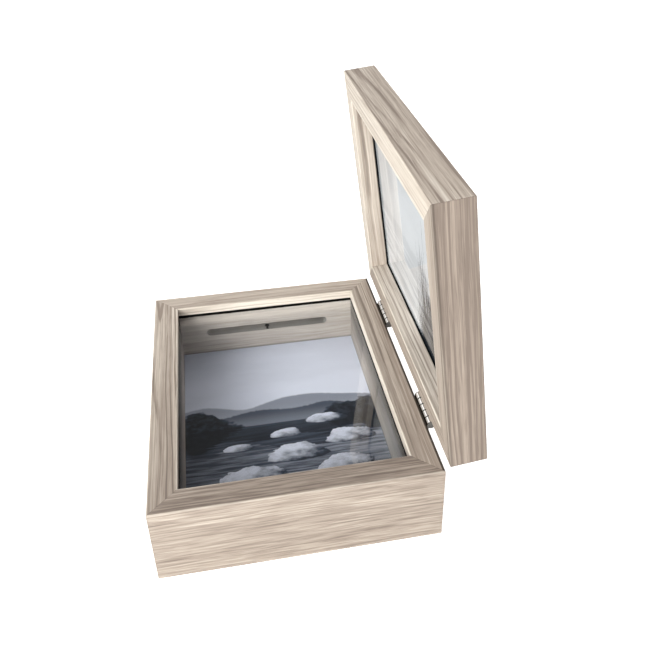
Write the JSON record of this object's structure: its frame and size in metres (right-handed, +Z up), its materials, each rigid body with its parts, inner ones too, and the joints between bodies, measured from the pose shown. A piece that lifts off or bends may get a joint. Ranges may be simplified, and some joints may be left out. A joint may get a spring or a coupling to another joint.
{
  "type": "photo storage box",
  "caption": "Hinged picture box lying open: a deep glazed base with a slot in its far wall and a shallow glazed lid frame on butt hinges.",
  "frame": {"origin": "centre of the open box's footprint, on the table plane", "axes": "+X from the free side towards the hinge side, +Y from the front towards the slot, +Z up"},
  "size_m": [0.1766, 0.205, 0.2048],
  "materials": {
    "veneered_rails": "matt printed wood grain over board",
    "lining": "matt printed wood grain over board",
    "clear_glass": "clear float glass",
    "prints": "black and white photographic paper",
    "backing_board": "brown hardboard",
    "nickel": "nickel-plated steel",
    "zinc_plate": "zinc-plated steel"
  },
  "bodies": {
    "base": {"base_front_rail": "veneered_rails", "base_slot_rail": "veneered_rails", "base_free_rail": "veneered_rails", "base_hinge_rail": "veneered_rails", "base_corner_nails": "zinc_plate", "base_glass": "clear_glass", "base_lining_front": "lining", "base_lining_slot": "lining", "base_lining_free": "lining", "base_lining_hinge": "lining", "base_print": "prints", "base_board": "backing_board", "base_rivets": "zinc_plate", "base_leaf_near": "nickel", "base_leaf_far": "nickel", "base_leaf_screws": "nickel", "hinge_pin_near": "nickel", "hinge_pin_far": "nickel"},
    "lid": {"lid_front_rail": "veneered_rails", "lid_back_rail": "veneered_rails", "lid_top_rail": "veneered_rails", "lid_hinge_rail": "veneered_rails", "lid_corner_nails": "zinc_plate", "lid_glass": "clear_glass", "lid_print": "prints", "lid_board": "backing_board", "lid_rivets": "zinc_plate", "lid_leaf_near": "nickel", "lid_leaf_far": "nickel", "lid_leaf_screws": "nickel"},
    "base_clip_1": {"base_clip_1": "zinc_plate"},
    "base_clip_2": {"base_clip_2": "zinc_plate"},
    "base_clip_3": {"base_clip_3": "zinc_plate"},
    "base_clip_4": {"base_clip_4": "zinc_plate"},
    "lid_clip_1": {"lid_clip_1": "zinc_plate"},
    "lid_clip_2": {"lid_clip_2": "zinc_plate"},
    "lid_clip_3": {"lid_clip_3": "zinc_plate"},
    "lid_clip_4": {"lid_clip_4": "zinc_plate"}
  },
  "joints": [
    {"name": "lid_hinge", "type": "hinge", "parent": "base", "child": "lid", "pos_m": [0.06803, 0, 0.0472], "axis": [0, 1, 0], "range_deg": [-83.5, 96.5]},
    {"name": "base_clip_1_turn", "type": "hinge", "parent": "base", "child": "base_clip_1", "pos_m": [-0.06827, -0.0505, 0.00225], "axis": [0, 0, 1], "continuous": true},
    {"name": "base_clip_2_turn", "type": "hinge", "parent": "base", "child": "base_clip_2", "pos_m": [-0.06827, 0.0505, 0.00225], "axis": [0, 0, 1], "continuous": true},
    {"name": "base_clip_3_turn", "type": "hinge", "parent": "base", "child": "base_clip_3", "pos_m": [0.04573, -0.0505, 0.00225], "axis": [0, 0, 1], "continuous": true},
    {"name": "base_clip_4_turn", "type": "hinge", "parent": "base", "child": "base_clip_4", "pos_m": [0.04573, 0.0505, 0.00225], "axis": [0, 0, 1], "continuous": true},
    {"name": "lid_clip_1_turn", "type": "hinge", "parent": "lid", "child": "lid_clip_1", "pos_m": [0.07093, -0.0505, 0.18471], "axis": [0.9936, 0, 0.1132], "continuous": true},
    {"name": "lid_clip_2_turn", "type": "hinge", "parent": "lid", "child": "lid_clip_2", "pos_m": [0.07093, 0.0505, 0.18471], "axis": [0.9936, 0, 0.1132], "continuous": true},
    {"name": "lid_clip_3_turn", "type": "hinge", "parent": "lid", "child": "lid_clip_3", "pos_m": [0.08384, -0.0505, 0.07144], "axis": [0.9936, 0, 0.1132], "continuous": true},
    {"name": "lid_clip_4_turn", "type": "hinge", "parent": "lid", "child": "lid_clip_4", "pos_m": [0.08384, 0.0505, 0.07144], "axis": [0.9936, 0, 0.1132], "continuous": true}
  ]
}
